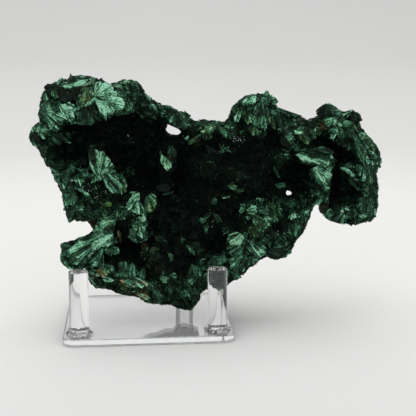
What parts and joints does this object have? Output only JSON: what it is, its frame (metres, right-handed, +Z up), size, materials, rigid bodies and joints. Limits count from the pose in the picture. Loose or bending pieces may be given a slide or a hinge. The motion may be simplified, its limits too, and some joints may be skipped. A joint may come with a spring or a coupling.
{
  "type": "malachite specimen",
  "caption": "Fibrous malachite mineral specimen with open hollows and knobbly lobes, wedged on a clear acrylic plate-and-peg stand.",
  "frame": {"origin": "centre of the base plate's underside", "axes": "+X along the specimen's long axis, to the right as seen from its front; +Y from the front to the back; +Z up"},
  "size_m": [0.1773, 0.078, 0.1266],
  "materials": {
    "malachite": "rough stone with silky fibrous fans",
    "clear_acrylic": "clear, polished"
  },
  "bodies": {
    "root": {"malachite": "malachite", "base_plate": "clear_acrylic", "peg_front_left": "clear_acrylic", "peg_front_right": "clear_acrylic", "peg_rear": "clear_acrylic"}
  },
  "joints": []
}
